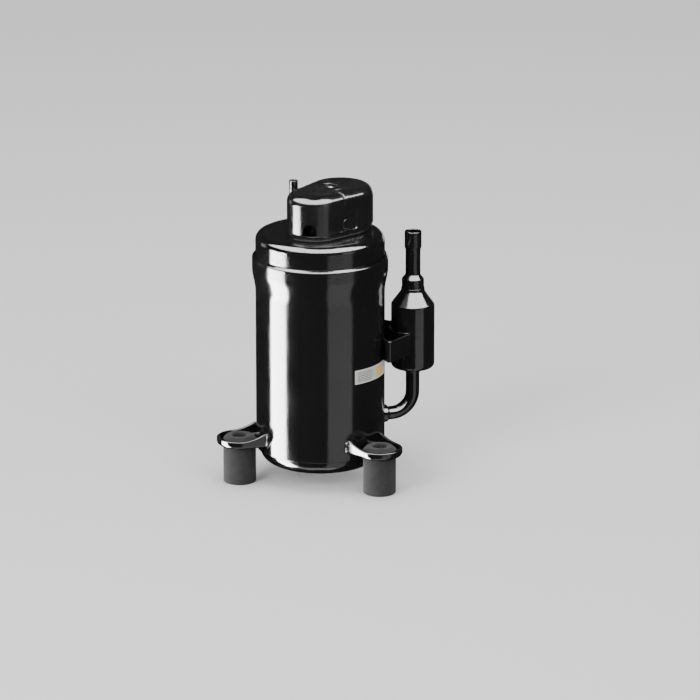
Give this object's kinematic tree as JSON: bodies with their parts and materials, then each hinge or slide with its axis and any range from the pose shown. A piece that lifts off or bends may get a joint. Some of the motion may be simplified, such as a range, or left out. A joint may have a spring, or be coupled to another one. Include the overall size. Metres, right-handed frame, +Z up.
{
  "type": "rotary compressor",
  "caption": "Hermetic rotary refrigeration compressor on rubber-mounted feet, with a side accumulator, terminal cover and pipe connections.",
  "frame": {"origin": "centre of the whole part's box, on the plane that the three grommets stand on", "axes": "+Z up along the shell's axis, +X towards the accumulator, +Y to the rear of the cover; the shell's axis is at X = -5.2 mm"},
  "size_m": [0.2052, 0.1744, 0.2745],
  "materials": {
    "black_paint": "gloss black paint with light orange peel",
    "black_plastic": "semi-gloss moulded plastic",
    "rubber": "matte moulded rubber",
    "label": "printed film",
    "steel": "plain machined or pressed steel",
    "iron": "machined casting",
    "copper": "enamelled copper wire",
    "aluminium": "die cast",
    "brass": "plain",
    "glass": "fused glass bead",
    "wire_sleeve": "woven sleeve over copper strand"
  },
  "bodies": {
    "housing": {"main_shell": "black_paint", "top_cap": "black_paint", "bottom_cap": "black_paint", "foot_bracket_front": "black_paint", "foot_bracket_left": "black_paint", "foot_bracket_rear": "black_paint", "accumulator_shell": "black_paint", "accumulator_inlet_pipe": "black_paint", "accumulator_bracket": "black_paint", "suction_tube": "black_paint", "suction_port_sleeve": "black_paint", "discharge_pipe": "black_paint", "cover_gasket": "black_plastic", "overload_protector": "black_plastic", "grommet_front": "rubber", "grommet_left": "rubber", "grommet_rear": "rubber", "nameplate": "label", "accumulator_strainer": "steel", "accumulator_baffle": "steel", "terminal_body": "steel", "protector_clip": "steel", "cover_stud": "steel", "stator_core": "steel", "discharge_muffler": "steel", "pump_bolt_1": "steel", "pump_bolt_2": "steel", "pump_bolt_3": "steel", "pump_bolt_4": "steel", "pump_bolt_5": "steel", "valve_stop": "steel", "valve_rivet": "steel", "vane_spring": "steel", "cylinder_block": "iron", "main_bearing": "iron", "sub_bearing": "iron", "stator_windings": "copper", "terminal_pin_common": "brass", "terminal_pin_run": "brass", "terminal_pin_start": "brass", "glass_bead_common": "glass", "glass_bead_run": "glass", "glass_bead_start": "glass", "lead_wire_common": "wire_sleeve", "lead_wire_run": "wire_sleeve", "lead_wire_start": "wire_sleeve"},
    "crank": {"crankshaft": "iron", "rotor_core": "steel", "rotor_cage": "aluminium", "balance_weight_lower": "brass", "balance_weight_upper": "brass", "oil_paddle": "steel"},
    "roller_ring": {"roller": "steel"},
    "vane_blade": {"vane": "steel"},
    "reed": {"discharge_reed": "steel"},
    "cover": {"terminal_cover": "black_plastic"},
    "captive_washer": {"cover_washer": "steel"},
    "nut": {"cover_nut": "steel"}
  },
  "joints": [
    {"name": "crank_spin", "type": "hinge", "parent": "housing", "child": "crank", "pos_m": [-0.0052, 0, 0.0535], "axis": [0, 0, 1], "continuous": true},
    {"name": "roller_spin", "type": "hinge", "parent": "crank", "child": "roller_ring", "pos_m": [-0.00096, 0.00265, 0.0535], "axis": [0, 0, 1], "continuous": true},
    {"name": "vane_slide", "type": "slide", "parent": "housing", "child": "vane_blade", "axis": [0.848, 0.5299, 0], "range_m": [0, 0.001], "stiffness_N_per_m": 400},
    {"name": "reed_lift", "type": "hinge", "parent": "housing", "child": "reed", "pos_m": [-0.01667, 0.01638, 0.0756], "axis": [0.0436, -0.999, 0], "range_deg": [0, 4.5], "stiffness_Nm_per_rad": 0.01},
    {"name": "cover_lift", "type": "slide", "parent": "housing", "child": "cover", "axis": [0, 0, 1], "range_m": [0, 0.06]},
    {"name": "washer_rise", "type": "slide", "parent": "cover", "child": "captive_washer", "axis": [0, 0, 1], "range_m": [0, 0.0072]},
    {"name": "nut_turn", "type": "hinge", "parent": "captive_washer", "child": "nut", "pos_m": [0.006, 0.0053, 0.2655], "axis": [0, 0, 1], "range_deg": [0, 2592]}
  ],
  "couplings": [
    {"joint": "nut_turn", "follows": "washer_rise", "rad_per_m": 6283.2}
  ]
}
